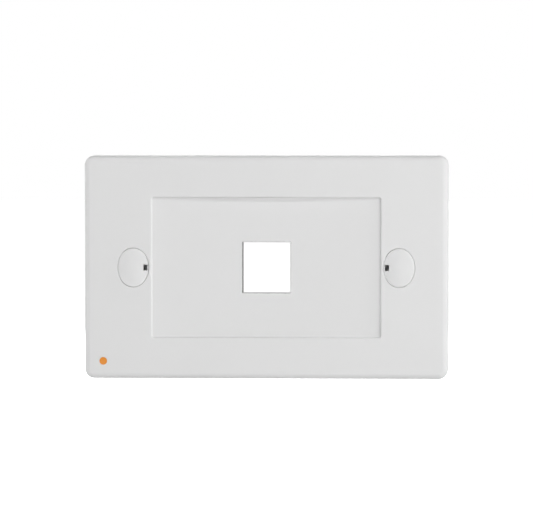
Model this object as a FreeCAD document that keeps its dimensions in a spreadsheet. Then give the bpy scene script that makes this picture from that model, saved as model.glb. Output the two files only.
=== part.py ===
import FreeCAD, Part
import math
import os
import re

import Sketcher

# One-port keystone faceplate, landscape, for a wall box with two screws on a line.
#
# Frame of the part, in millimetres: +X to the right, +Z up, and the wall lies in the plane Y = 0,
# with the room on the -Y side. The origin is the middle of the plate on the wall plane.
# A "depth" below is a distance forward of the wall, so depth d lies at Y = -d.
#
# Pieces: faceplate_frame, port_insert, screw_cap_left, screw_cap_right and ident_dot.

doc = FreeCAD.newDocument("keystone_faceplate")

# ---------------------------------------------------------------------------------------------
# Driving dimensions
# ---------------------------------------------------------------------------------------------

DIMENSIONS = [
    # outer form of the frame
    ("plate_length", 115.0),
    ("plate_height", 70.5),
    ("corner_radius", 3.0),
    ("edge_depth", 9.0),
    ("crown_rise", 1.0),
    ("front_rounding", 2.0),
    ("rim_wall", 2.2),
    ("face_wall", 2.2),
    ("inner_rounding", 0.8),
    ("rib_wall", 1.2),
    ("rib_setback", 2.0),
    # window of the frame, and the seat behind it that the insert is clipped into
    ("window_height", 44.1),
    ("window_corner", 0.6),
    ("window_rounding", 0.6),
    ("surround_wall", 1.6),
    ("surround_setback", 4.0),
    ("clip_width", 8.0),
    ("clip_spacing", 44.0),
    ("clip_height", 0.7),
    ("clip_nose", 1.8),
    # insert
    ("insert_overlap", 1.6),
    ("insert_clearance", 0.1),
    ("insert_recess", 0.8),
    ("insert_dish", 0.3),
    ("insert_wall", 2.2),
    ("ring_inset", 1.6),
    ("ring_depth", 1.4),
    # keystone port
    ("port_width", 15.0),
    ("port_height", 16.2),
    ("port_wall", 1.5),
    ("port_setback", 0.3),
    ("port_break", 0.15),
    ("lower_groove", 1.9),
    ("upper_groove", 3.4),
    ("latch_lip", 1.3),
    ("lip_wall", 1.6),
    # screw seats
    ("screw_spacing", 84.0),
    ("screw_hole", 3.8),
    ("screw_head", 7.2),
    ("seat_width", 9.9),
    ("seat_height", 12.3),
    ("seat_end_radius", 4.45),
    ("seat_depth", 3.6),
    ("seat_floor", 2.4),
    ("seat_wall", 1.4),
    ("seat_web", 1.05),
    ("cup_web", 0.8),
    ("seat_break", 0.15),
    ("boss_width", 8.4),
    # screw caps
    ("cap_clearance", 0.1),
    ("cap_dome", 0.28),
    ("cap_rounding", 0.25),
    ("cap_face", 1.1),
    ("cap_wall", 1.0),
    ("slot_rim", 0.35),
    ("slot_width", 1.3),
    ("slot_height", 1.9),
    # coloured dot
    ("dot_width", 2.4),
    ("dot_height", 0.8),
    ("dot_from_side", 5.9),
    ("dot_from_bottom", 5.6),
    ("dot_clearance", 0.02),
]

sheet = doc.addObject("Spreadsheet::Sheet", "Sizes")
for row, (alias, value) in enumerate(DIMENSIONS, start=1):
    sheet.set(f"A{row}", alias)
    sheet.set(f"B{row}", str(value))
    sheet.setAlias(f"B{row}", alias)
doc.recompute()


def bound(text):
    """The expression with every alias pointing at its cell of the sheet."""
    return re.sub(r"[a-z]+(?:_[a-z]+)+", lambda word: "Sizes." + word.group(0), text)


def number(text):
    """The value that an expression over the aliases has now."""
    return float(sheet.evalExpression(bound(text)))


# ---------------------------------------------------------------------------------------------
# Derived sizes, as expressions over the aliases
# ---------------------------------------------------------------------------------------------


def arc_radius(chord, rise):
    """Radius of the arc that rises by `rise` over a chord."""
    return f"((({chord}) / 2)^2 + ({rise})^2) / (2 * ({rise}))"


CROWN_RADIUS = f"({arc_radius('plate_length', 'crown_rise')})"
CROWN_CENTRE = f"({CROWN_RADIUS} - edge_depth - crown_rise)"


def face_depth(across, below="0"):
    """Depth of the crowned face at a distance across from the middle, or of a parallel face below."""
    return f"(sqrt(({CROWN_RADIUS} - {below})^2 - ({across})^2) - {CROWN_CENTRE})"


WINDOW_LENGTH = "(screw_spacing - seat_width - 2 * seat_web)"
INSERT_FRONT = f"({face_depth(f'{WINDOW_LENGTH} / 2')} - insert_recess)"
INSERT_BACK = f"({INSERT_FRONT} - insert_wall)"
RING_BACK = f"({INSERT_BACK} - ring_depth)"
INSERT_LENGTH = f"({WINDOW_LENGTH} + 2 * insert_overlap)"
INSERT_HEIGHT = "(window_height + 2 * insert_overlap)"
INSERT_CORNER = "(window_corner + insert_overlap)"
INSIDE_FACE = f"({face_depth('plate_length / 2 - rim_wall')} - face_wall / 2)"
SURROUND_MIDDLE_X = f"({INSERT_LENGTH} / 2 + insert_clearance + surround_wall / 2)"
SURROUND_MIDDLE_Z = f"({INSERT_HEIGHT} / 2 + insert_clearance + surround_wall / 2)"
SEAT_BOTTOM = f"({face_depth('screw_spacing / 2')} - seat_depth)"
CUP_BACK = f"({SEAT_BOTTOM} - seat_floor)"
DOT_ACROSS = "(plate_length / 2 - dot_from_side)"
DOT_DOWN = "(plate_height / 2 - dot_from_bottom)"
DOT_BOTTOM = f"({face_depth(DOT_ACROSS)} - dot_height)"
BEYOND = "(edge_depth + crown_rise + 5)"


# ---------------------------------------------------------------------------------------------
# Drawing helpers
# ---------------------------------------------------------------------------------------------


def new_body(label):
    """An empty body with its own label."""
    body = doc.addObject("PartDesign::Body", label)
    body.Label = label
    return body


def new_sketch(body, name, role, offset="0"):
    """A sketch on one of the body's own origin planes, moved along that plane's normal."""
    sketch = body.newObject("Sketcher::SketchObject", name)
    plane = next(item for item in body.Origin.OriginFeatures if item.Role == role)
    sketch.AttachmentSupport = (plane, [""])
    sketch.MapMode = "FlatFace"
    if offset != "0":
        sketch.setExpression("AttachmentOffset.Base.z", bound(offset))
    return sketch


def arc_between(start, end, radius, side):
    """The short arc from start to end; side is 1 for a centre on the left of that line, else -1."""
    chord = end - start
    height = math.sqrt(max(radius**2 - (chord.Length / 2) ** 2, 0.0))
    left = FreeCAD.Vector(-chord.y, chord.x, 0)
    left.normalize()
    centre = (start + end) * 0.5 + left * (height * side)
    first = math.atan2(start.y - centre.y, start.x - centre.x)
    last = math.atan2(end.y - centre.y, end.x - centre.x)
    if side < 0:
        first, last = last, first
    circle = Part.Circle(centre, FreeCAD.Vector(0, 0, 1), radius)
    return Part.ArcOfCircle(circle, first, last)


def outline(sketch, corners, arcs=None):
    """A closed outline through corners, each an (across, up) pair of expressions.

    arcs maps the index of a corner to (radius, side) for a round stretch from that corner to the
    next; every other stretch is a straight line. All corners and radii are tied to the sheet.
    """
    arcs = arcs or {}
    points = [FreeCAD.Vector(number(across), number(up), 0) for across, up in corners]
    ends = []
    for index, start in enumerate(points):
        end = points[(index + 1) % len(points)]
        if index in arcs:
            radius, side = arcs[index]
            item = sketch.addGeometry(arc_between(start, end, number(radius), side), False)
            ends.append((item, 1, 2) if side > 0 else (item, 2, 1))
            constraint = Sketcher.Constraint("Radius", item, number(radius))
            sketch.setExpression(f"Constraints[{sketch.addConstraint(constraint)}]", bound(radius))
        else:
            item = sketch.addGeometry(Part.LineSegment(start, end), False)
            ends.append((item, 1, 2))
    for index, (item, first, last) in enumerate(ends):
        after, after_first, after_last = ends[(index + 1) % len(ends)]
        sketch.addConstraint(Sketcher.Constraint("Coincident", item, last, after, after_first))
        for direction, axis, text in zip(("DistanceX", "DistanceY"), (0, 1), corners[index]):
            constraint = Sketcher.Constraint(direction, -1, 1, item, first, points[index][axis])
            sketch.setExpression(f"Constraints[{sketch.addConstraint(constraint)}]", bound(text))
    return sketch


def rectangle(sketch, left, right, bottom, top):
    """A rectangle between two uprights and two levels."""
    return outline(sketch, [(left, bottom), (right, bottom), (right, top), (left, top)])


def centred_rectangle(sketch, length, height):
    """A rectangle about the sketch's origin."""
    return rectangle(
        sketch, f"-({length}) / 2", f"({length}) / 2", f"-({height}) / 2", f"({height}) / 2"
    )


def rounded_rectangle(sketch, length, height, radius):
    """A rectangle about the sketch's origin with round corners."""
    across, up = f"(({length}) / 2)", f"(({height}) / 2)"
    inner_across, inner_up = f"({across} - ({radius}))", f"({up} - ({radius}))"
    corners = [
        (f"-{inner_across}", f"-{up}"),
        (inner_across, f"-{up}"),
        (across, f"-{inner_up}"),
        (across, inner_up),
        (inner_across, up),
        (f"-{inner_across}", up),
        (f"-{across}", inner_up),
        (f"-{across}", f"-{inner_up}"),
    ]
    return outline(sketch, corners, {index: (radius, 1) for index in (1, 3, 5, 7)})


SEAT_SIDE_RADIUS = (
    "(((seat_width / 2)^2 + (seat_height / 2 - seat_end_radius)^2 - seat_end_radius^2)"
    " / (seat_width - 2 * seat_end_radius))"
)


def seat_oval(sketch, centre, grow="0"):
    """The upright oval of a screw seat: two end arcs that run smoothly into two flatter side arcs.

    grow widens it all round with the same arc centres.
    """
    end_radius = f"(seat_end_radius + {grow})"
    side_radius = f"({SEAT_SIDE_RADIUS} + {grow})"
    end_centre = "(seat_height / 2 - seat_end_radius)"
    span = f"({SEAT_SIDE_RADIUS} - seat_end_radius)"
    across = f"({end_radius} * ({SEAT_SIDE_RADIUS} - seat_width / 2) / {span})"
    up = f"({end_centre} + {end_radius} * {end_centre} / {span})"
    corners = [
        (f"{centre} + {across}", f"-{up}"),
        (f"{centre} + {across}", up),
        (f"{centre} - {across}", up),
        (f"{centre} - {across}", f"-{up}"),
    ]
    arcs = {0: (side_radius, 1), 1: (end_radius, 1), 2: (side_radius, 1), 3: (end_radius, 1)}
    return outline(sketch, corners, arcs)


def circle(sketch, across, up, diameter):
    """A circle tied to the sheet."""
    centre = FreeCAD.Vector(number(across), number(up), 0)
    normal = FreeCAD.Vector(0, 0, 1)
    item = sketch.addGeometry(Part.Circle(centre, normal, number(diameter) / 2), False)
    for kind, value, text in (("DistanceX", centre.x, across), ("DistanceY", centre.y, up)):
        constraint = Sketcher.Constraint(kind, -1, 1, item, 3, value)
        sketch.setExpression(f"Constraints[{sketch.addConstraint(constraint)}]", bound(text))
    constraint = Sketcher.Constraint("Diameter", item, number(diameter))
    sketch.setExpression(f"Constraints[{sketch.addConstraint(constraint)}]", bound(diameter))
    return sketch


# ---------------------------------------------------------------------------------------------
# Feature helpers
# ---------------------------------------------------------------------------------------------


def extrude(body, kind, name, sketch, length, side="One side", reverse=False):
    """A pad or a pocket of a sketch, with its length tied to the sheet."""
    feature = body.newObject(kind, name)
    feature.Profile = sketch
    feature.SideType = side
    feature.Reversed = reverse
    feature.setExpression("Length", bound(length))
    sketch.Visibility = False
    return feature


def pad(body, name, sketch, length, side="One side", reverse=False):
    """Adds material along the sketch's normal, or evenly to both sides of it."""
    return extrude(body, "PartDesign::Pad", name, sketch, length, side, reverse)


def pocket(body, name, sketch, length, side="One side", reverse=False):
    """Cuts against the sketch's normal, along it if reversed, or evenly to both sides."""
    return extrude(body, "PartDesign::Pocket", name, sketch, length, side, reverse)


def edges_of(feature, wanted):
    """Names of the feature's edges that pass a test."""
    edges = enumerate(feature.Shape.Edges, start=1)
    return [f"Edge{index}" for index, edge in edges if wanted(edge)]


def fillet(body, name, base, wanted, radius):
    """Rounds the edges of the base feature that pass a test."""
    doc.recompute()
    feature = body.newObject("PartDesign::Fillet", name)
    feature.Base = (base, edges_of(base, wanted))
    feature.setExpression("Radius", bound(radius))


def chamfer(body, name, base, wanted, size):
    """Breaks the edges of the base feature that pass a test with a flat at 45 degrees."""
    doc.recompute()
    feature = body.newObject("PartDesign::Chamfer", name)
    feature.Base = (base, edges_of(base, wanted))
    feature.setExpression("Size", bound(size))


def on_surface(edge, depth_at, tolerance=1e-3):
    """Whether both ends and the middle of an edge lie at the depth that depth_at gives there."""
    first, last = edge.ParameterRange
    points = [edge.valueAt(first), edge.valueAt((first + last) / 2), edge.valueAt(last)]
    return all(abs(-point.y - depth_at(point)) < tolerance for point in points)


def crown_at(point):
    """Depth of the crowned face above a point."""
    radius = number(CROWN_RADIUS)
    return math.sqrt(radius**2 - point.x**2) - number(CROWN_CENTRE)


def trim_to_crown(body, name, half_length, height):
    """Cuts away what stands in front of the crowned face."""
    sketch = new_sketch(body, f"{name}_sketch", "XY_Plane")
    edge = f"-{face_depth(half_length)}"
    corners = [
        (f"-{half_length}", edge),
        (f"-{half_length}", f"-{BEYOND}"),
        (half_length, f"-{BEYOND}"),
        (half_length, edge),
    ]
    outline(sketch, corners, {3: (CROWN_RADIUS, -1)})
    return pocket(body, name, sketch, height, side="Symmetric")


# ---------------------------------------------------------------------------------------------
# faceplate_frame: moulded shell with a crowned face, open at the back
# ---------------------------------------------------------------------------------------------


def faceplate_frame():
    """The frame: crowned shell, window and insert seat, two screw seats, ribs and the dot's seat."""
    body = new_body("faceplate_frame")

    # Block with round corners, cut to the crown and rounded along the front.
    sketch = new_sketch(body, "plate_outline", "XZ_Plane")
    rounded_rectangle(sketch, "plate_length", "plate_height", "corner_radius")
    pad(body, "block", sketch, "edge_depth + crown_rise + 1")
    crown = trim_to_crown(body, "crown", "(plate_length / 2)", "plate_height + 2")
    fillet(body, "front_edge", crown, lambda edge: on_surface(edge, crown_at), "front_rounding")

    # Hollow behind the face: its roof follows the crown, so the face has an even wall.
    half = "(plate_length / 2 - rim_wall)"
    roof = f"-{face_depth(half, 'face_wall')}"
    sketch = new_sketch(body, "hollow_section", "XY_Plane")
    corners = [(f"-{half}", "1"), (f"-{half}", roof), (half, roof), (half, "1")]
    outline(sketch, corners, {1: (f"{CROWN_RADIUS} - face_wall", 1)})
    hollow = pocket(body, "hollow", sketch, "plate_height - 2 * rim_wall", side="Symmetric")

    def inner_corner(edge):
        middle = edge.valueAt(sum(edge.ParameterRange) / 2)
        across = number(half)
        up = number("plate_height / 2 - rim_wall")
        return abs(abs(middle.x) - across) < 0.01 and abs(abs(middle.z) - up) < 0.01

    fillet(body, "hollow_corners", hollow, inner_corner, "inner_rounding")

    # Wall around the seat of the insert.
    sketch = new_sketch(body, "surround_outline", "XZ_Plane", "surround_setback")
    grow = "2 * (insert_clearance + surround_wall)"
    rounded_rectangle(
        sketch,
        f"{INSERT_LENGTH} + {grow}",
        f"{INSERT_HEIGHT} + {grow}",
        f"{INSERT_CORNER} + insert_clearance + surround_wall",
    )
    pad(body, "surround", sketch, f"{INSIDE_FACE} - surround_setback")

    # Cups of the screw seats, and the round bosses that stand on the wall box.
    for name, side in (("left", "-"), ("right", "")):
        centre = f"({side}screw_spacing / 2)"
        sketch = new_sketch(body, f"{name}_cup_outline", "XZ_Plane", CUP_BACK)
        seat_oval(sketch, centre, "seat_wall")
        pad(body, f"{name}_cup", sketch, f"{INSIDE_FACE} - {CUP_BACK}")
        sketch = new_sketch(body, f"{name}_boss_outline", "XZ_Plane")
        circle(sketch, centre, "0", "boss_width")
        pad(body, f"{name}_boss", sketch, SEAT_BOTTOM)

    # Ribs: along the middle from each seat to the rim and to the surround, and four upright ones.
    rib_across = "(plate_length / 2 - rim_wall / 2)"
    sketch = new_sketch(body, "long_rib_outline", "XZ_Plane", "rib_setback")
    for side in ("-", ""):
        near, far = f"{side}{SURROUND_MIDDLE_X}", f"{side}{rib_across}"
        left, right = (far, near) if side else (near, far)
        rectangle(sketch, left, right, "-rib_wall / 2", "rib_wall / 2")
    pad(body, "long_ribs", sketch, f"{INSIDE_FACE} - rib_setback")
    sketch = new_sketch(body, "short_rib_outline", "XZ_Plane", "rib_setback")
    for side in ("-", ""):
        for level in ("-", ""):
            near = f"{level}{SURROUND_MIDDLE_Z}"
            far = f"{level}(plate_height / 2 - rim_wall / 2)"
            bottom, top = (far, near) if level else (near, far)
            middle = f"{side}(clip_spacing / 2)"
            rectangle(sketch, f"{middle} - rib_wall / 2", f"{middle} + rib_wall / 2", bottom, top)
    pad(body, "short_ribs", sketch, f"{INSIDE_FACE} - rib_setback")

    # Seat of the insert, cut from behind up to the lip that frames the window, with the thin
    # inner walls of the cups left standing where they reach into it.
    sketch = new_sketch(body, "insert_seat_outline", "XZ_Plane", INSERT_FRONT)
    rounded_rectangle(
        sketch,
        f"{INSERT_LENGTH} + 2 * insert_clearance",
        f"{INSERT_HEIGHT} + 2 * insert_clearance",
        f"{INSERT_CORNER} + insert_clearance",
    )
    pocket(body, "insert_seat", sketch, BEYOND)
    for name, side in (("left", "-"), ("right", "")):
        sketch = new_sketch(body, f"{name}_cup_wall_outline", "XZ_Plane", CUP_BACK)
        seat_oval(sketch, f"({side}screw_spacing / 2)", "cup_web")
        pad(body, f"{name}_cup_wall", sketch, f"{INSERT_FRONT} - {CUP_BACK}")

    # Four wedge-shaped clips on the long walls of that seat, which close behind the insert.
    wall_up = f"({INSERT_HEIGHT} / 2 + insert_clearance)"
    catch = f"({INSERT_BACK} - insert_clearance)"
    for name, across in (("left", "-clip_spacing / 2"), ("right", "clip_spacing / 2")):
        for level, sign in (("lower", "-"), ("upper", "")):
            sketch = new_sketch(body, f"{name}_{level}_clip_section", "YZ_Plane", across)
            corners = [
                (f"-{catch}", f"{sign}({wall_up} + surround_wall / 2)"),
                (f"-{catch}", f"{sign}({wall_up} - clip_height)"),
                (f"-({catch} - clip_nose / 4)", f"{sign}({wall_up} - clip_height)"),
                (f"-({catch} - clip_nose)", f"{sign}{wall_up}"),
                (f"-({catch} - clip_nose)", f"{sign}({wall_up} + surround_wall / 2)"),
            ]
            outline(sketch, corners)
            pad(body, f"{name}_{level}_clip", sketch, "clip_width", side="Symmetric")

    # Window through the lip.
    sketch = new_sketch(body, "window_outline", "XZ_Plane")
    rounded_rectangle(sketch, WINDOW_LENGTH, "window_height", "window_corner")
    window = pocket(body, "window", sketch, BEYOND, reverse=True)

    def window_edge(edge):
        box = edge.BoundBox
        inside_x = max(abs(box.XMin), abs(box.XMax)) < number(f"{WINDOW_LENGTH} / 2") + 0.01
        inside_z = max(abs(box.ZMin), abs(box.ZMax)) < number("window_height / 2") + 0.01
        return inside_x and inside_z and on_surface(edge, crown_at)

    fillet(body, "window_edge", window, window_edge, "window_rounding")

    # Screw seats: oval pocket, countersink for the head and clearance hole for the screw.
    for name, side in (("left", "-"), ("right", "")):
        centre = f"({side}screw_spacing / 2)"
        sketch = new_sketch(body, f"{name}_seat_outline", "XZ_Plane", SEAT_BOTTOM)
        seat_oval(sketch, centre)
        pocket(body, f"{name}_seat", sketch, BEYOND, reverse=True)
        sketch = new_sketch(body, f"{name}_screw_section", "XY_Plane")
        sink = "((screw_head - screw_hole) / 2)"
        inner, outer = f"{centre} + screw_hole / 2", f"{centre} + screw_head / 2"
        corners = [
            (centre, "1"),
            (inner, "1"),
            (inner, f"-({SEAT_BOTTOM} - {sink})"),
            (outer, f"-{SEAT_BOTTOM}"),
            (outer, f"-({SEAT_BOTTOM} + seat_depth / 4)"),
            (centre, f"-({SEAT_BOTTOM} + seat_depth / 4)"),
        ]
        outline(sketch, corners)
        hole = body.newObject("PartDesign::Groove", f"{name}_screw_hole")
        hole.Profile = sketch
        hole.ReferenceAxis = (sketch, ["Edge6"])
        hole.Angle = 360

    # Seat of the coloured dot near the lower left corner.
    sketch = new_sketch(body, "dot_seat_outline", "XZ_Plane", DOT_BOTTOM)
    circle(sketch, f"-{DOT_ACROSS}", f"-{DOT_DOWN}", "dot_width + 2 * dot_clearance")
    dot_seat = pocket(body, "dot_seat", sketch, BEYOND, reverse=True)

    # Broken edge round both screw seats, where the caps are pushed in.
    def seat_edge(edge):
        box = edge.BoundBox
        across = abs(box.XMin + box.XMax) / 2
        beside = abs(across - number("screw_spacing / 2")) < number("seat_width / 2") + 0.01
        within = max(abs(box.ZMin), abs(box.ZMax)) < number("seat_height / 2") + 0.01
        return beside and within and on_surface(edge, crown_at)

    chamfer(body, "seat_edge", dot_seat, seat_edge, "seat_break")
    return body


# ---------------------------------------------------------------------------------------------
# port_insert: dished panel with one keystone port, pushed in from behind and held by the clips
# ---------------------------------------------------------------------------------------------


def port_insert():
    """The insert: dished panel, keystone housing with its two latch lips, and stiffening ribs."""
    body = new_body("port_insert")
    sketch = new_sketch(body, "panel_outline", "XZ_Plane", INSERT_BACK)
    rounded_rectangle(sketch, INSERT_LENGTH, INSERT_HEIGHT, INSERT_CORNER)
    pad(body, "panel", sketch, "insert_wall")

    # Shallow dish across the panel, deepest along its upright middle line. The border that lies
    # behind the window's lip stays flat.
    half = f"({WINDOW_LENGTH} / 2)"
    front = f"-{INSERT_FRONT}"
    dish_radius = f"({arc_radius(WINDOW_LENGTH, 'insert_dish')})"
    sketch = new_sketch(body, "dish_section", "XY_Plane")
    outline(sketch, [(f"-{half}", front), (half, front)], {0: (dish_radius, -1)})
    pocket(body, "dish", sketch, "window_height", side="Symmetric")

    # Hollows in both ends of the panel that clear the cups of the screw seats.
    for name, side in (("left", "-"), ("right", "")):
        sketch = new_sketch(body, f"{name}_hollow_outline", "XZ_Plane", INSERT_FRONT)
        seat_oval(sketch, f"({side}screw_spacing / 2)", "cup_web + insert_clearance")
        pocket(body, f"{name}_hollow", sketch, BEYOND)

    # Rib ring inside the border.
    sketch = new_sketch(body, "ring_outline", "XZ_Plane", RING_BACK)
    ring_length = f"({WINDOW_LENGTH} - 2 * ring_inset)"
    ring_height = "(window_height - 2 * ring_inset)"
    centred_rectangle(sketch, ring_length, ring_height)
    centred_rectangle(sketch, f"{ring_length} - 2 * rib_wall", f"{ring_height} - 2 * rib_wall")
    pad(body, "ring", sketch, "ring_depth")

    # Keystone housing behind the port.
    housing_half = "(port_height / 2 + port_wall)"
    rear = "port_setback"
    sketch = new_sketch(body, "housing_section", "YZ_Plane")
    rectangle(
        sketch,
        f"-{INSERT_BACK}",
        f"-{rear}",
        f"-({housing_half} + lower_groove)",
        f"{housing_half} + upper_groove",
    )
    pad(body, "housing", sketch, "port_width + 2 * port_wall", side="Symmetric")

    # Ribs from the housing to the ring.
    sketch = new_sketch(body, "rib_outline", "XZ_Plane", RING_BACK)
    housing_side = "(port_width / 2 + port_wall / 2)"
    ring_side = f"({ring_length} / 2 - rib_wall / 2)"
    rectangle(sketch, f"-{ring_side}", f"-{housing_side}", "-rib_wall / 2", "rib_wall / 2")
    rectangle(sketch, housing_side, ring_side, "-rib_wall / 2", "rib_wall / 2")
    pad(body, "side_ribs", sketch, "ring_depth")
    sketch = new_sketch(body, "upright_rib_outline", "XZ_Plane", RING_BACK)
    ring_top = f"({ring_height} / 2 - rib_wall / 2)"
    rectangle(
        sketch,
        "-rib_wall / 2",
        "rib_wall / 2",
        f"-{ring_top}",
        f"-({housing_half} + lower_groove - port_wall / 2)",
    )
    rectangle(
        sketch,
        "-rib_wall / 2",
        "rib_wall / 2",
        f"{housing_half} + upper_groove - port_wall / 2",
        ring_top,
    )
    pad(body, "upright_ribs", sketch, "ring_depth")

    # Passage for the jack: port in the panel, latch grooves behind it, and a lip at the rear of
    # each groove that the jack's catch and spring latch close on.
    sketch = new_sketch(body, "passage_section", "YZ_Plane")
    port = "port_height / 2"
    groove_front = f"-{INSERT_BACK}"
    lip_front = f"-({rear} + lip_wall)"
    low_groove, low_lip = f"-({port} + lower_groove)", f"-({port} + lower_groove - latch_lip)"
    top_groove, top_lip = f"{port} + upper_groove", f"{port} + upper_groove - latch_lip"
    corners = [
        (f"-{BEYOND}", f"-{port}"),
        (groove_front, f"-{port}"),
        (groove_front, low_groove),
        (lip_front, low_groove),
        (lip_front, low_lip),
        ("1", low_lip),
        ("1", top_lip),
        (lip_front, top_lip),
        (lip_front, top_groove),
        (groove_front, top_groove),
        (groove_front, port),
        (f"-{BEYOND}", port),
    ]
    outline(sketch, corners)
    passage = pocket(body, "passage", sketch, "port_width", side="Symmetric")

    # Broken edge round the port.
    def port_edge(edge):
        box = edge.BoundBox
        inside_x = max(abs(box.XMin), abs(box.XMax)) < number("port_width / 2") + 0.01
        inside_z = max(abs(box.ZMin), abs(box.ZMax)) < number("port_height / 2") + 0.01
        return inside_x and inside_z and -box.YMax > number(INSERT_BACK) + 0.1

    chamfer(body, "port_edge", passage, port_edge, "port_break")
    return body


# ---------------------------------------------------------------------------------------------
# screw caps: domed ovals pushed into the screw seats
# ---------------------------------------------------------------------------------------------


def screw_cap(label, side):
    """One cap: hollow oval plug whose domed face stands a little proud, with a pry slot.

    side is "-" for the left one and "" for the right one; the slot is on the plate's middle side.
    """
    body = new_body(label)
    centre = f"({side}screw_spacing / 2)"
    bottom = f"({SEAT_BOTTOM} + cap_clearance)"
    sketch = new_sketch(body, "plug_outline", "XZ_Plane", bottom)
    seat_oval(sketch, centre, "(-cap_clearance)")
    pad(body, "plug", sketch, "seat_depth + cap_dome + 1")

    # Dome: an arc across the cap that meets the crown at both sides of the seat.
    half = "(seat_width / 2)"
    dome_radius = f"({arc_radius('seat_width', 'cap_dome')})"
    near, far = f"(screw_spacing / 2 - {half})", f"(screw_spacing / 2 + {half})"
    left, right = (f"-{far}", f"-{near}") if side else (near, far)
    left_edge = f"-{face_depth(far if side else near)}"
    right_edge = f"-{face_depth(near if side else far)}"
    sketch = new_sketch(body, "dome_section", "XY_Plane")
    corners = [(left, left_edge), (left, f"-{BEYOND}"), (right, f"-{BEYOND}"), (right, right_edge)]
    outline(sketch, corners, {3: (dome_radius, -1)})
    dome = pocket(body, "dome", sketch, "seat_height + 2", side="Symmetric")

    def rim_edge(edge):
        return -edge.BoundBox.YMax > number(face_depth(far)) - 0.1

    fillet(body, "rim", dome, rim_edge, "cap_rounding")

    # Hollow behind the face, with an even wall around it.
    sketch = new_sketch(body, "hollow_outline", "XZ_Plane", bottom)
    seat_oval(sketch, centre, "(-cap_clearance - cap_wall)")
    pocket(body, "hollow", sketch, "seat_depth - cap_clearance - cap_face", reverse=True)

    # Pry slot beside the rim, on the side of the plate's middle.
    near_end = f"{side}(screw_spacing / 2 - {half} + cap_clearance + slot_rim)"
    far_end = f"{side}(screw_spacing / 2 - {half} + cap_clearance + slot_rim + slot_width)"
    left, right = (far_end, near_end) if side else (near_end, far_end)
    sketch = new_sketch(body, "slot_outline", "XZ_Plane")
    rectangle(sketch, left, right, "-slot_height / 2", "slot_height / 2")
    pocket(body, "slot", sketch, BEYOND, reverse=True)
    return body


# ---------------------------------------------------------------------------------------------
# ident_dot: small coloured plug, flush with the face
# ---------------------------------------------------------------------------------------------


def ident_dot():
    """The coloured dot: a short round plug whose top follows the crowned face."""
    body = new_body("ident_dot")
    sketch = new_sketch(body, "dot_outline", "XZ_Plane", DOT_BOTTOM)
    circle(sketch, f"-{DOT_ACROSS}", f"-{DOT_DOWN}", "dot_width")
    pad(body, "dot", sketch, "dot_height + 1")
    trim_to_crown(body, "dot_top", "(plate_length / 2)", "plate_height + 2")
    return body


# ---------------------------------------------------------------------------------------------
# Build, check and export
# ---------------------------------------------------------------------------------------------

pieces = [
    faceplate_frame(),
    port_insert(),
    screw_cap("screw_cap_left", "-"),
    screw_cap("screw_cap_right", ""),
    ident_dot(),
]
doc.recompute()

for item in doc.Objects:
    if "Invalid" in item.State or "Error" in item.State:
        raise RuntimeError(f"{item.Name} failed: {item.State}")
for item in doc.Objects:
    if item.TypeId in ("PartDesign::Pocket", "PartDesign::Groove"):
        if item.Shape.Volume > item.BaseFeature.Shape.Volume - 1e-3:
            raise RuntimeError(f"{item.Name} of {item.getParent().Label} cuts nothing")

os.makedirs("parts", exist_ok=True)
for piece in pieces:
    shape = piece.Shape
    if shape.isNull() or not shape.isValid() or len(shape.Solids) != 1:
        raise RuntimeError(f"{piece.Label} isn't one valid solid")
    shape.exportStep(f"parts/{piece.Label}.step")
    print(f"{piece.Label}: {shape.Volume:.1f} mm3, {len(shape.Faces)} faces")
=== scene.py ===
# %% [markdown]
# # A one-port wall faceplate in white moulded plastic
#
# The plate covers a wall box and carries one data socket. It has a crowned frame that two screws
# hold on the box, an insert pushed in behind the frame's window, an oval cap over each screw and
# a small orange mark in one corner. All places are in metres in the part's own frame: +X to the
# right, +Z up, the wall in the plane Y = 0 and the room on the -Y side.

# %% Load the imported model
import math

import bmesh
import bpy
import numpy as np
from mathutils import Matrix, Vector
from mathutils.bvhtree import BVHTree


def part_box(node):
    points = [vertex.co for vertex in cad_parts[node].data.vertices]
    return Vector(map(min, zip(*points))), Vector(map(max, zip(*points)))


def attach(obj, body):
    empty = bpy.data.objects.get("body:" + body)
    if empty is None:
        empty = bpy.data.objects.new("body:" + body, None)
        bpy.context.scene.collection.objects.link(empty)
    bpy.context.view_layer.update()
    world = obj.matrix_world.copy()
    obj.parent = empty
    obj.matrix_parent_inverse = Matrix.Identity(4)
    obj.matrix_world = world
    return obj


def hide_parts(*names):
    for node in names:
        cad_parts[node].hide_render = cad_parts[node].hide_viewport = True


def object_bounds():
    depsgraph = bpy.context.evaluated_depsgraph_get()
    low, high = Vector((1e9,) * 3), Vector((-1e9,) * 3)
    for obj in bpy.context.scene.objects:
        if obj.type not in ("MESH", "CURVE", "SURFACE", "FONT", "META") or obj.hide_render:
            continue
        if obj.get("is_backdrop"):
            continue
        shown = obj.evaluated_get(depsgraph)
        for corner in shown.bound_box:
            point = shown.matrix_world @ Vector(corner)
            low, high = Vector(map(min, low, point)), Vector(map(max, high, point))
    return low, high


MM = 0.001
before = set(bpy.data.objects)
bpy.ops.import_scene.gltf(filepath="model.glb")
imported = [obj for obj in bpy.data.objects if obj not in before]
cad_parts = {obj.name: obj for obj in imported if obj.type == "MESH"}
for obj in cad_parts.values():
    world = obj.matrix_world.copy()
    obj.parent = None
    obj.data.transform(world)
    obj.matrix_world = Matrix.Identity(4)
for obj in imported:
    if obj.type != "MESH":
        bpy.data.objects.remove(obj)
scene = bpy.context.scene
cad_box = [list(corner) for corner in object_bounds()]
length, depth, height = (high - low for low, high in zip(*cad_box))
print("nodes:", ", ".join(sorted(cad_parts)))
print(f"plate {length / MM:.1f} x {height / MM:.1f} mm, {depth / MM:.1f} mm deep")

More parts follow.
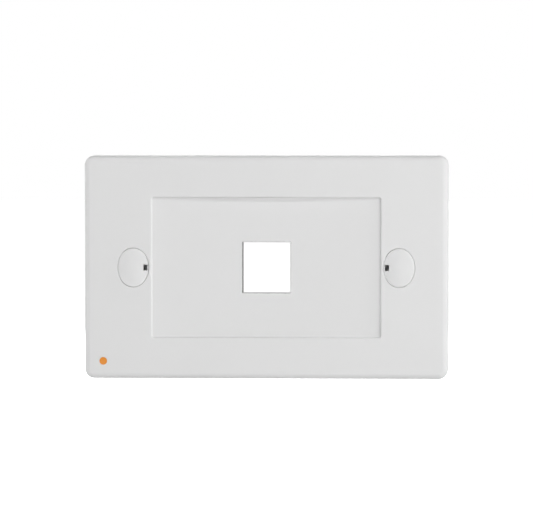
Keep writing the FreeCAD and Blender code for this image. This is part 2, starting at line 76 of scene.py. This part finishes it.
# %% [markdown]
# ## Camera
#
# A wall plate is looked at almost straight on. A long lens keeps its sides parallel, and a camera
# a little to the right and above lets the port show a thin line of its inner walls. The view is
# set by the width that it covers at the plate's face, so the distance follows from the lens.

# %% Camera
VIEW_WIDTH = 168.2 * MM
CAMERA_AZIMUTH = math.radians(2.5)
CAMERA_ELEVATION = math.radians(3.0)
CAMERA_TARGET = Vector((0.15, -9.5, 0.87)) * MM


def direction(azimuth, elevation):
    """The unit vector towards a place in the room.

    Azimuth turns it to the right of straight out of the wall, and elevation lifts it.
    """
    level = math.cos(elevation)
    return Vector((math.sin(azimuth) * level, -math.cos(azimuth) * level, math.sin(elevation)))


def aim(thing, place, target):
    """Puts a lamp or a camera at a place and points it at a target."""
    thing.location = place
    thing.rotation_euler = (target - place).to_track_quat("-Z", "Y").to_euler()
    scene.collection.objects.link(thing)


lens = bpy.data.cameras.new("camera")
lens.lens = 300.0
lens.clip_start = 0.05
lens.clip_end = 50.0
distance = VIEW_WIDTH / 2 / math.tan(lens.angle_x / 2)
scene.camera = bpy.data.objects.new("camera", lens)
toward_camera = direction(CAMERA_AZIMUTH, CAMERA_ELEVATION)
aim(scene.camera, CAMERA_TARGET + toward_camera * distance, CAMERA_TARGET)
print(f"the view is {VIEW_WIDTH / MM:.1f} mm wide from {distance:.2f} m away")

# %% [markdown]
# ## Finish: satin white plastic
#
# Such plates are moulded in a tool with a finely eroded surface. The plastic is satin, its tone
# drifts by about a percent, and its gloss changes where the melt flowed. An image of plastic
# could be wrapped round the pieces, but it would stretch at the edges. Noise in the piece's own
# coordinates doesn't: a wide noise gives the drift, a middle one the gloss, and a very fine one
# the grain, which goes in as a bump a hundredth of a millimetre high.

# %% Plastic
DRIFT_WAVES = 45.0
GLOSS_WAVES = 260.0
GRAIN_WAVES = 5200.0
GRAIN_HEIGHT = 0.01 * MM


def add_math(tree, operation, first, second=None):
    """A Math node whose inputs are sockets or numbers, and its output."""
    node = tree.nodes.new("ShaderNodeMath")
    node.operation = operation
    for socket, value in zip(node.inputs, (first, second)):
        if isinstance(value, (int, float)):
            socket.default_value = value
        elif value is not None:
            tree.links.new(value, socket)
    return node.outputs[0]


def add_range(tree, value, source, target):
    """A value mapped from the source range to the target range, and held at its ends."""
    node = tree.nodes.new("ShaderNodeMapRange")
    node.inputs["From Min"].default_value, node.inputs["From Max"].default_value = source
    node.inputs["To Min"].default_value, node.inputs["To Max"].default_value = target
    tree.links.new(value, node.inputs["Value"])
    return node.outputs["Result"]


def add_noise(tree, scale, detail):
    """A noise over the piece's own coordinates, with so many waves per metre."""
    place = tree.nodes.new("ShaderNodeTexCoord")
    noise = tree.nodes.new("ShaderNodeTexNoise")
    noise.inputs["Scale"].default_value = scale
    noise.inputs["Detail"].default_value = detail
    tree.links.new(place.outputs["Object"], noise.inputs["Vector"])
    return noise.outputs["Fac"]


def satin_plastic(name, colour, drift, gloss):
    """Moulded plastic: the colour times 1 +- drift, roughness within gloss, and a fine grain."""
    material = bpy.data.materials.new(name)
    material.use_nodes = True
    tree = material.node_tree
    shader = tree.nodes["Principled BSDF"]
    shader.inputs["Specular IOR Level"].default_value = 0.4
    tone = tree.nodes.new("ShaderNodeMix")
    tone.data_type = "RGBA"
    tone.inputs["A"].default_value = (*(part * (1 - drift) for part in colour), 1.0)
    tone.inputs["B"].default_value = (*(part * (1 + drift) for part in colour), 1.0)
    tree.links.new(add_noise(tree, DRIFT_WAVES, 3.0), tone.inputs["Factor"])
    tree.links.new(tone.outputs["Result"], shader.inputs["Base Color"])
    shine = add_range(tree, add_noise(tree, GLOSS_WAVES, 2.0), (0.3, 0.7), gloss)
    tree.links.new(shine, shader.inputs["Roughness"])
    grain = tree.nodes.new("ShaderNodeBump")
    grain.inputs["Strength"].default_value = 0.25
    grain.inputs["Distance"].default_value = GRAIN_HEIGHT
    tree.links.new(add_noise(tree, GRAIN_WAVES, 2.0), grain.inputs["Height"])
    tree.links.new(grain.outputs["Normal"], shader.inputs["Normal"])
    return material


WHITE = (0.76, 0.76, 0.76)
ORANGE = (0.8, 0.29, 0.036)
frame_plastic = satin_plastic("frame_white", WHITE, 0.01, (0.62, 0.7))
insert_plastic = satin_plastic("insert_white", WHITE, 0.01, (0.64, 0.72))
cap_plastic = satin_plastic("cap_white", WHITE, 0.008, (0.6, 0.68))
mark_plastic = satin_plastic("mark_orange", ORANGE, 0.02, (0.36, 0.42))
print("finishes:", frame_plastic.name, insert_plastic.name, cap_plastic.name, mark_plastic.name)

# %% [markdown]
# ## Coarse walls and painted shade in the port
#
# The face of the insert is finely eroded, but the core that forms the port isn't: its walls stay
# coarse and have no sheen at a low angle. Their colour is also painted greyer, a painted shade
# for the little light that reaches the walls deep in the port. They could have a material of
# their own, but the merge and the cuts below number the faces anew. So the shader finds them
# itself. They lie within the port's reach, across and up, and look neither forwards nor
# backwards. The product of these three tests paints shade there by dimming the colour, and
# raises the roughness.

# %% Port walls: painted shade and roughness
PORT_REACH = (7.8 * MM, 12.0 * MM)
# The colour of the painted shade on the port's walls.
PAINTED_PORT_SHADE = (0.45, 0.45, 0.45)
PORT_ROUGHNESS = 0.9
SIDEWAYS = 0.5


def shade_and_roughen_port(material):
    """Paints shade on the port's walls, and raises their roughness to PORT_ROUGHNESS."""
    tree = material.node_tree
    shader = tree.nodes["Principled BSDF"]
    place = tree.nodes.new("ShaderNodeTexCoord")
    axes = tree.nodes.new("ShaderNodeSeparateXYZ")
    tree.links.new(place.outputs["Object"], axes.inputs["Vector"])
    facing = tree.nodes.new("ShaderNodeNewGeometry")
    normal = tree.nodes.new("ShaderNodeSeparateXYZ")
    tree.links.new(facing.outputs["Normal"], normal.inputs["Vector"])
    within = [
        add_math(tree, "LESS_THAN", add_math(tree, "ABSOLUTE", value), limit)
        for value, limit in (
            (axes.outputs["X"], PORT_REACH[0]),
            (axes.outputs["Z"], PORT_REACH[1]),
            (normal.outputs["Y"], SIDEWAYS),
        )
    ]
    inside = add_math(tree, "MULTIPLY", add_math(tree, "MULTIPLY", *within[:2]), within[2])
    fine_colour = shader.inputs["Base Color"].links[0].from_socket
    fine_shine = shader.inputs["Roughness"].links[0].from_socket
    # Painted shade: where the mask is 1, the colour is dimmed towards grey.
    tone = tree.nodes.new("ShaderNodeMix")
    tone.data_type = "RGBA"
    tone.inputs["B"].default_value = (*PAINTED_PORT_SHADE, 1.0)
    tree.links.new(inside, tone.inputs["Factor"])
    tree.links.new(fine_colour, tone.inputs["A"])
    tree.links.new(tone.outputs["Result"], shader.inputs["Base Color"])
    lift = add_math(tree, "MULTIPLY", inside, PORT_ROUGHNESS)
    tree.links.new(add_math(tree, "MAXIMUM", fine_shine, lift), shader.inputs["Roughness"])


shade_and_roughen_port(insert_plastic)
print(f"port walls of tone {PAINTED_PORT_SHADE[0]} and roughness {PORT_ROUGHNESS}")

# %% [markdown]
# ## Frame and insert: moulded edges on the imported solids
#
# The frame and the insert have hundreds of flat walls, ribs and grooves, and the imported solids
# give each of them its true place. A surface worked out anew would only copy them and risk the
# fit. What the solids lack is what a mould leaves: no moulded edge is razor sharp, and a broken
# edge is what catches the light. So each solid is copied, its loose triangles are merged into
# flat faces, and a Bevel breaks every edge that turns by more than 40 degrees. Weighted normals
# keep the flat areas flat, so that only the thin broken edges shine.

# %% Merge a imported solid
EDGE_BREAK = 0.1 * MM
EDGE_FROM = math.radians(40)
MERGE_WITHIN = 0.002 * MM
FLAT_WITHIN = math.radians(0.5)


def merged_solid(name, node):
    """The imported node's triangles as one closed mesh: doubles merged, flat areas dissolved."""
    shape = bmesh.new()
    shape.from_mesh(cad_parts[node].data)
    bmesh.ops.remove_doubles(shape, verts=shape.verts, dist=MERGE_WITHIN)
    bmesh.ops.dissolve_limit(shape, angle_limit=FLAT_WITHIN, verts=shape.verts, edges=shape.edges)
    mesh = bpy.data.meshes.new(name)
    shape.to_mesh(mesh)
    shape.free()
    return mesh


def add_piece(mesh, node, body, material):
    """The object of a finished mesh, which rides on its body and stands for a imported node."""
    mesh.polygons.foreach_set("use_smooth", np.ones(len(mesh.polygons), bool))
    mesh.materials.append(material)
    piece = bpy.data.objects.new(mesh.name, mesh)
    scene.collection.objects.link(piece)
    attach(piece, body)
    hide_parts(node)
    return piece


def break_edges(piece, width):
    """Bevels the sharp edges to a width, then weights the normals by face area."""
    bevel = piece.modifiers.new("broken_edges", "BEVEL")
    bevel.width = width
    bevel.segments = 2
    bevel.limit_method = "ANGLE"
    bevel.angle_limit = EDGE_FROM
    bevel.use_clamp_overlap = False
    weighted = piece.modifiers.new("flat_areas", "WEIGHTED_NORMAL")
    weighted.mode = "FACE_AREA"
    weighted.weight = 100


edge_degrees = math.degrees(EDGE_FROM)
print(f"edges over {edge_degrees:.0f} degrees are broken by {EDGE_BREAK / MM:.1f} mm")

# %% [markdown]
# ## Closed surfaces and cuts
#
# The other shapes are rings of points, joined into a closed surface: a profile carried round a
# path. Where one is taken out of another, as a pin's mark or a cap's slot is, faces could be
# deleted and the hole closed again by hand. A Boolean modifier subtracts it in one step, and
# always leaves a closed mesh. Its result is kept, so no cutter stays in the scene.

# %% Closed surface and Boolean cut
def closed_mesh(name, rings):
    """A closed surface through rings of points that run from one pole to the other.

    Rings have the same number of points, and the first and last are single points. Each point
    makes a face with the next one round and the same two on the next ring.
    """
    steps = len(rings[1])
    starts = np.cumsum([0] + [len(ring) for ring in rings[:-1]])
    here = np.arange(steps)
    after = (here + 1) % steps
    first = np.column_stack([np.zeros(steps, int), starts[1] + here, starts[1] + after])
    last = np.column_stack([starts[-2] + here, np.full(steps, starts[-1]), starts[-2] + after])
    bands = [
        np.column_stack([inner + here, outer + here, outer + after, inner + after])
        for inner, outer in zip(starts[1:-2], starts[2:-1])
    ]
    faces = first.tolist() + np.concatenate(bands).tolist() + last.tolist()
    mesh = bpy.data.meshes.new(name)
    mesh.from_pydata(np.concatenate(rings).tolist(), [], faces)
    return mesh


def volume(mesh):
    """Signed volume in cubic millimetres, positive where the faces point outwards."""
    shape = bmesh.new()
    shape.from_mesh(mesh)
    inside = shape.calc_volume(signed=True) / MM**3
    shape.free()
    return inside


def cut(name, mesh, cutters):
    """The mesh less each cutter mesh in turn."""
    whole = bpy.data.objects.new(name, mesh)
    tools = [bpy.data.objects.new("cutter", cutter) for cutter in cutters]
    for thing in [whole, *tools]:
        scene.collection.objects.link(thing)
    for tool in tools:
        boolean = whole.modifiers.new("cut", "BOOLEAN")
        boolean.operation = "DIFFERENCE"
        boolean.object = tool
    graph = bpy.context.evaluated_depsgraph_get()
    result = bpy.data.meshes.new_from_object(whole.evaluated_get(graph))
    for thing in [whole, *tools]:
        bpy.data.objects.remove(thing)
    result.name = name
    return result


packed = {node: volume(solid.data) for node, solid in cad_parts.items()}
print("packed, in cubic mm:", ", ".join(f"{node} {packed[node]:.1f}" for node in sorted(packed)))

# %% [markdown]
# ## Ejector marks
#
# Round pins push a moulding off its core, and each leaves a shallow disc on the back. A bump in
# the finish could fake them, but it has no depth and is lost with the material. So the discs
# are cut into the mesh. A cutter is a flat cone frustum with a rim of about 30 degrees, too
# gentle for the Bevel to take it for an edge. A ray from behind finds how deep the back lies on
# both sides of each pin.

# %% Pin cutters
PIN_RADIUS = 2.0 * MM
PIN_STEP = 0.06 * MM
PIN_RIM = 0.1 * MM
PIN_SIDES = 48
RAY_START = 5 * MM


def pin_cutters(mesh, places):
    """One frustum for each (x, z) place, whose depth follows the straight line across the back."""
    shape = bmesh.new()
    shape.from_mesh(mesh)
    back = BVHTree.FromBMesh(shape)
    shape.free()
    turn = np.arange(PIN_SIDES) * 2 * np.pi / PIN_SIDES
    cutters = []
    for x, z in places:
        ends = (x - PIN_RADIUS, x + PIN_RADIUS)
        hits = [back.ray_cast((end, RAY_START, z), (0, -1, 0))[0].y for end in ends]

        def ring(reach, step):
            across = x + reach * np.cos(turn)
            level = np.interp(across, ends, hits) - step
            return np.column_stack([across, level, z + reach * np.sin(turn)])

        middle = sum(hits) / 2
        rings = [np.array([[x, middle - PIN_STEP, z]])]
        rings += [ring(PIN_RADIUS - PIN_RIM, PIN_STEP), ring(PIN_RADIUS + PIN_RIM, -PIN_STEP)]
        rings.append(np.array([[x, middle + PIN_STEP, z]]))
        cutters.append(closed_mesh("pin", rings))
    return cutters


print(f"pins {2 * PIN_RADIUS / MM:.0f} mm wide leave marks {PIN_STEP / MM:.2f} mm deep")

# %% [markdown]
# ## Frame
#
# The frame is one moulding, so it is one mesh: the merged solid, less ten pins that stand in two
# rows along its long sides. The pins could be cut out of the bevelled mesh, but its width of
# edge could then no longer be changed. So the marks go in first, and the Bevel stays a modifier
# that works on the finished form.

# %% Frame
FRAME_PINS = [(x * MM, z * MM) for x in (-50, -26, 0, 26, 50) for z in (-29.2, 29.2)]
frame_solid = merged_solid("whole_frame", "faceplate_frame")
frame_mesh = cut("crowned_frame", frame_solid, pin_cutters(frame_solid, FRAME_PINS))
crowned_frame = add_piece(frame_mesh, "faceplate_frame", "frame", frame_plastic)
break_edges(crowned_frame, EDGE_BREAK)
print(f"frame: {volume(frame_mesh):.0f} cubic mm, {len(FRAME_PINS)} ejector marks")

# %% [markdown]
# ## Insert, with draft in its port
#
# The insert is the second moulding, and lies under the lip of the window. The core that forms
# its port is drawn out through the face, so the port narrows a little from the face to the
# back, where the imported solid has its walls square. The walls could be built anew with a slope,
# but moving the points that they have keeps the rest in place. So the draft is put into the
# merged copy, as one array of vertices: the side walls and their broken front edge open towards
# the face, and the short walls above and below close towards the grooves behind them.

# %% Insert
PORT_HALF_WIDTH = 7.5 * MM
PORT_HALF_HEIGHT = 8.1 * MM
PORT_BREAK = 0.15 * MM
SIDE_DRAFT = 0.15 * MM
LEVEL_DRAFT = 0.25 * MM
LEVEL_WALL_DEPTH = 3.6 * MM


def draft_port(mesh):
    """Moves the port's wall points by a share of the draft that grows evenly along the wall."""
    points = np.empty(3 * len(mesh.vertices))
    mesh.vertices.foreach_get("co", points)
    points = points.reshape(-1, 3)
    low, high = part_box("port_insert")
    near = 0.01 * MM
    across, up = np.abs(points[:, 0]), np.abs(points[:, 2])
    forward = (high[1] - points[:, 1]) / (high[1] - low[1])
    back = np.clip((points[:, 1] - low[1]) / LEVEL_WALL_DEPTH, 0, 1)
    side = (across > PORT_HALF_WIDTH - near) & (across < PORT_HALF_WIDTH + PORT_BREAK + near)
    level = (np.abs(up - PORT_HALF_HEIGHT) < near) & (across < PORT_HALF_WIDTH + near)
    points[:, 0] += np.sign(points[:, 0]) * side * forward * SIDE_DRAFT
    points[:, 2] -= np.sign(points[:, 2]) * level * back * LEVEL_DRAFT
    mesh.vertices.foreach_set("co", points.ravel())
    return int(side.sum()), int(level.sum())


INSERT_PINS = [(x * MM, z * MM) for x in (-25, 25) for z in (-14, 14)]
insert_solid = merged_solid("whole_insert", "port_insert")
side_points, level_points = draft_port(insert_solid)
insert_mesh = cut("clip_in_insert", insert_solid, pin_cutters(insert_solid, INSERT_PINS))
clip_in_insert = add_piece(insert_mesh, "port_insert", "frame", insert_plastic)
break_edges(clip_in_insert, EDGE_BREAK)
print(f"insert: {volume(insert_mesh):.0f} cubic mm, {side_points} + {level_points} drafted points")

# %% [markdown]
# ## Screw caps: the oval
#
# Each cap is a hollow oval plug. Its outline could be an ellipse, but the seat that it is
# pressed into is drawn with four arcs, two long ones at the sides and two short ones at the
# ends, and an ellipse would leave an uneven gap. With the same arcs, drawn in or out by any
# distance, cap and seat stay parallel all round.

# %% Oval outline
CAP_END_RADIUS = 4.35 * MM
CAP_STEPS = 144


def oval(width, height, end_radius, steps):
    """Arc centres, arc radii and outward normals round an oval of two side and two end arcs.

    A point of the oval is its arc's centre plus the arc's radius along the normal, so a
    smaller radius gives a parallel oval. The side radius follows from the two arcs touching.
    """
    lift = height / 2 - end_radius
    side_radius = (width**2 / 4 + lift**2 - end_radius**2) / (width - 2 * end_radius)
    shift = side_radius - width / 2
    turn = (np.arange(steps) + 0.5) * 2 * np.pi / steps
    normal = np.column_stack([np.cos(turn), np.sin(turn)])
    on_side = np.abs(normal[:, 1]) * shift < np.abs(normal[:, 0]) * lift
    centre = np.where(on_side[:, None], [-shift, 0.0], [0.0, lift]) * np.sign(normal)
    return centre, np.where(on_side, side_radius, end_radius), normal


print(f"oval of {CAP_STEPS} points with end arcs of {CAP_END_RADIUS / MM:.2f} mm")

# %% [markdown]
# ## Screw caps: the profile
#
# Both caps come from one mould, so their dome is level and doesn't tilt with the frame's crown.
# A cube rounded by subdivision would never meet the seat evenly. So the cap is a profile
# carried round the oval: from the middle of the face over the rounded rim, down the outside,
# round the bottom and up the inside to the middle of the hollow. The left cap sits a hair
# nearer the end of the plate, as a part pressed in by hand does, so that the gap on its other
# side is wider and darker.

# %% Cap surface
PACKED_DOME = 0.28 * MM
CAP_DOME = 0.55 * MM
CAP_SINK = 0.1 * MM
CAP_RIM = 0.22 * MM
CAP_WALL = 1.0 * MM
CAP_FACE = 1.1 * MM
CAP_FIT = 0.05 * MM
CAP_ASIDE = 0.03 * MM
DOME_START = 1.9 * MM


def cap_surface(name, node, aside):
    """The rings of a cap: dome, rounded rim, outer wall, bottom, inner wall and hollow.

    The front falls by CAP_DOME times the square of the share of the half width that a point
    lies across. Over the rim it falls further, along a quarter circle of radius CAP_RIM. The
    dome's edge lies CAP_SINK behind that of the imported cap.
    """
    low, high = (np.array(corner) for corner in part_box(node))
    width, height = (high - low)[[0, 2]] + 2 * CAP_FIT
    middle = (low + high)[[0, 2]] / 2 + np.array([aside, 0.0])
    centre, radius, normal = oval(width, height, CAP_END_RADIUS + CAP_FIT, CAP_STEPS)
    top = -low[1] - PACKED_DOME - CAP_SINK + CAP_DOME
    bottom = -high[1]

    def ring(inset, level=None, fall=0.0, share=1.0):
        flat = (centre + (radius - inset)[:, None] * normal) * share
        across = flat[:, 0] / (width / 2)
        front = top - CAP_DOME * across**2 - fall
        level = front if level is None else np.full(len(flat), level)
        return np.column_stack([flat[:, 0] + middle[0], -level, flat[:, 1] + middle[1]])

    def pole(level):
        return np.array([[middle[0], -level, middle[1]]])

    rings = [pole(top)]
    rings += [ring(DOME_START, share=share) for share in np.linspace(0.1, 1.0, 10)]
    rings += [ring(inset) for inset in np.linspace(1.6, 0.4, 5) * MM]
    for turn in np.radians(np.linspace(0, 90, 9)):
        fall = CAP_RIM * (1 - math.cos(turn))
        rings.append(ring(CAP_RIM * (1 - math.sin(turn)), fall=fall))
    rings += [ring(0, bottom), ring(CAP_WALL, bottom)]
    underside = top - CAP_DOME - CAP_FACE
    rings += [ring(CAP_WALL, underside), ring(CAP_WALL, underside, share=0.5)]
    rings.append(pole(underside))
    return closed_mesh(name, rings)


print(f"caps: dome {CAP_DOME / MM:.2f} mm, rim {CAP_RIM / MM:.2f} mm, wall {CAP_WALL / MM:.1f} mm")

# %% [markdown]
# ## Pry slot
#
# A thin blade lifts the cap by a small slot at its edge, on the side of the plate's middle. The
# slot goes right through the face behind a rim that is left standing. Cutting it out of the
# grid would leave odd faces, so a box is subtracted by a Boolean and the result is kept.

# %% Cut the slots
SLOT_RIM = 0.35 * MM
SLOT_WIDTH = 1.3 * MM
SLOT_HEIGHT = 1.9 * MM
SHARP_FROM = math.radians(35)


def box_mesh(low, high):
    """A closed box between two corners: its eight points are all choices of low and high."""
    corners = np.array(np.meshgrid(*zip(low, high), indexing="ij")).reshape(3, -1).T
    faces = [(0, 1, 3, 2), (4, 6, 7, 5), (0, 4, 5, 1), (2, 3, 7, 6), (0, 2, 6, 4), (1, 5, 7, 3)]
    mesh = bpy.data.meshes.new("slot_cutter")
    mesh.from_pydata(corners.tolist(), [], faces)
    return mesh


def slot_cutter(node, toward_middle):
    """A box just inside the cap's rim, on the side where toward_middle points."""
    low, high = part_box(node)
    edge = (low[0] + high[0]) / 2 + toward_middle * (high[0] - low[0]) / 2
    ends = sorted(edge - toward_middle * inset for inset in (SLOT_RIM, SLOT_RIM + SLOT_WIDTH))
    half = SLOT_HEIGHT / 2
    return box_mesh((ends[0], low[1] - MM, -half), (ends[1], high[1] + MM, half))


for side, toward_middle, aside in (("left", 1, -CAP_ASIDE), ("right", -1, 0.0)):
    node = f"screw_cap_{side}"
    whole_cap = cap_surface(f"whole_cap_{side}", node, aside)
    cap_mesh = cut(f"domed_cap_{side}", whole_cap, [slot_cutter(node, toward_middle)])
    add_piece(cap_mesh, node, f"{side}_cap", cap_plastic)
    cap_mesh.set_sharp_from_angle(angle=SHARP_FROM)
    print(f"{side} cap: {volume(cap_mesh):.0f} cubic mm, {len(cap_mesh.polygons)} faces")

# %% [markdown]
# ## Orange mark
#
# The mark is a short round plug of dyed plastic, pressed in flush. It could be a cylinder, but
# its top has to follow the crown and its edge is rounded. So it is another profile carried
# round a circle: the oval of the caps with all four arcs the same.

# %% Mark
CROWN_RISE = 1.0 * MM
MARK_RIM = 0.12 * MM
MARK_STEPS = 72


def crown_depth(across):
    """Depth of the crowned face: a circle through the middle and the two ends of the plate."""
    radius = ((length / 2) ** 2 + CROWN_RISE**2) / (2 * CROWN_RISE)
    return np.sqrt(radius**2 - across**2) - radius + depth


def mark_surface(name, node):
    """The rings of the mark: a flush top, a rounded rim, the wall and a flat bottom."""
    low, high = (np.array(corner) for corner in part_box(node))
    middle = (low + high) / 2
    radius = (high[0] - low[0]) / 2
    turn = np.arange(MARK_STEPS) * 2 * np.pi / MARK_STEPS

    def ring(reach, fall, bottom=None):
        across, up = middle[0] + reach * np.cos(turn), middle[2] + reach * np.sin(turn)
        front = fall - crown_depth(across)
        level = front if bottom is None else np.full(MARK_STEPS, bottom)
        return np.column_stack([across, level, up])

    top = np.array([[middle[0], -crown_depth(middle[0]), middle[2]]])
    rings = [top] + [ring(share * radius, 0.0) for share in (0.25, 0.5, 0.75, 0.88)]
    for angle in np.radians(np.linspace(0, 90, 6)):
        inset, fall = MARK_RIM * (1 - math.sin(angle)), MARK_RIM * (1 - math.cos(angle))
        rings.append(ring(radius - inset, fall))
    rings += [ring(radius, 0.0, high[1]), np.array([[middle[0], high[1], middle[2]]])]
    return closed_mesh(name, rings)


mark_mesh = mark_surface("orange_mark", "ident_dot")
add_piece(mark_mesh, "ident_dot", "frame", mark_plastic)
mark_mesh.set_sharp_from_angle(angle=SHARP_FROM)
print(f"mark: {volume(mark_mesh):.1f} cubic mm, {len(mark_mesh.polygons)} faces")

# %% [markdown]
# ## A pale floor that looks white
#
# A faceplate hangs on a wall, so the floor lies well below it and only closes the scene. Lamps
# that light the plate from the front graze a floor, which then looks grey. Brighter lamps would
# burn out the white plastic. So the floor glows by as much as it lacks, but only for rays that
# come from the camera, a mirror or a glass: it looks white, lights nothing, and its own lit
# part still shows the plate's soft shadow.

# %% Floor
FLOOR_DROP = 130 * MM
FLOOR_HALF = 4.0
FLOOR_TONE = 0.85
FLOOR_GLOW = 0.86


def seen_directly(tree):
    """1 for a ray that shows its target (from the camera, a reflection or glass), else 0."""
    rays = tree.nodes.new("ShaderNodeLightPath").outputs
    reflected = add_math(tree, "MAXIMUM", rays["Is Camera Ray"], rays["Is Glossy Ray"])
    return add_math(tree, "MAXIMUM", reflected, rays["Is Transmission Ray"])


def floor_paint():
    """Matt pale paint plus a glow of FLOOR_GLOW for the rays that show the floor."""
    material = bpy.data.materials.new("floor_paint")
    material.use_nodes = True
    tree = material.node_tree
    matt = tree.nodes["Principled BSDF"]
    matt.inputs["Base Color"].default_value = (FLOOR_TONE, FLOOR_TONE, FLOOR_TONE, 1.0)
    matt.inputs["Roughness"].default_value = 0.9
    glow = tree.nodes.new("ShaderNodeEmission")
    amount = add_math(tree, "MULTIPLY", seen_directly(tree), FLOOR_GLOW)
    tree.links.new(amount, glow.inputs["Strength"])
    both = tree.nodes.new("ShaderNodeAddShader")
    tree.links.new(matt.outputs["BSDF"], both.inputs[0])
    tree.links.new(glow.outputs["Emission"], both.inputs[1])
    tree.links.new(both.outputs["Shader"], tree.nodes["Material Output"].inputs["Surface"])
    return material


floor_mesh = bpy.data.meshes.new("floor")
corners = FLOOR_HALF * np.array([(-1, -1), (1, -1), (1, 1), (-1, 1)])
floor_points = np.column_stack([corners, np.full(4, -FLOOR_DROP)])
floor_mesh.from_pydata(floor_points.tolist(), [], [(0, 1, 2, 3)])
floor_mesh.materials.append(floor_paint())
floor = bpy.data.objects.new("floor", floor_mesh)
scene.collection.objects.link(floor)
floor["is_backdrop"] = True
print(f"floor {FLOOR_DROP / MM:.0f} mm below the middle of the plate")

# %% [markdown]
# ## Lamps
#
# White plastic shows its form only by small steps of tone, so the light comes mostly from one
# side. A large square key lamp stands a little to the right and a weaker one fills from the
# left. A small one above throws a crisp shadow from the window's upper lip onto the insert,
# which is longest in the middle, where crown and dish make the recess deepest. The other four
# stand beside, over and behind the plate, and give its rounded borders their lines of light.
# Large lamps have soft shadows, so only the small one draws a line.

# %% Lamps
LAMP_DISTANCE = 1.6
LARGE, SMALL = 0.7, 0.15
LAMPS = {
    "key": (40, 0, LARGE, 12.2),
    "fill": (-35, 5, LARGE, 3.8),
    "above": (0, 48, SMALL, 7.3),
    "right_edge": (80, 5, LARGE, 9.2),
    "left_edge": (-100, 5, LARGE, 10.0),
    "upper_edge": (0, 100, LARGE, 2.6),
    "behind": (-170, 10, LARGE, 9.0),
}
for name, (azimuth, elevation, side, watts) in LAMPS.items():
    light = bpy.data.lights.new(name, "AREA")
    light.size = side
    light.energy = watts
    lamp = bpy.data.objects.new(name, light)
    lamp.visible_camera = False
    place = direction(math.radians(azimuth), math.radians(elevation)) * LAMP_DISTANCE
    aim(lamp, place, Vector((0, 0, 0)))
    print(f"{name}: {watts} W from {azimuth} degrees round, {elevation} up")

# %% [markdown]
# ## World
#
# The rest of the light is a dim even glow from all round: above, below and both sides. None
# comes from straight in front or behind, because that would reach the bottom of every groove
# and wash it out. The direction's Y is near 0 all round and near -1 or 1 in front and behind,
# so its size serves as the gate. Rays that show the world itself see plain white.

# %% World
WORLD_LIGHT = 0.1
GATE = (0.9, 0.7)
world = bpy.data.worlds.new("world")
scene.world = world
world.use_nodes = True
tree = world.node_tree
background = tree.nodes["Background"]
background.inputs["Color"].default_value = (1.0, 1.0, 1.0, 1.0)
sky = tree.nodes.new("ShaderNodeTexCoord")
axes = tree.nodes.new("ShaderNodeSeparateXYZ")
tree.links.new(sky.outputs["Generated"], axes.inputs["Vector"])
forward = add_math(tree, "ABSOLUTE", axes.outputs["Y"])
gate = add_range(tree, forward, GATE, (0.0, WORLD_LIGHT))
strength = add_math(tree, "MAXIMUM", gate, seen_directly(tree))
tree.links.new(strength, background.inputs["Strength"])
scene.view_settings.view_transform = "Standard"
print(f"world light {WORLD_LIGHT} from the sides, white where it is seen")

# %% [markdown]
# ## Reach of the dressed plate
#
# The dressed plate has to keep the reach of the imported one, or it would no longer meet the wall
# and its box. That could be judged by eye, but a tenth of a millimetre doesn't show.

# %% Sizes
for label, (low, high) in (("packed", cad_box), ("dressed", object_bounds())):
    print(f"{label}:", " x ".join(f"{(b - a) / MM:.2f}" for a, b in zip(low, high)), "mm")
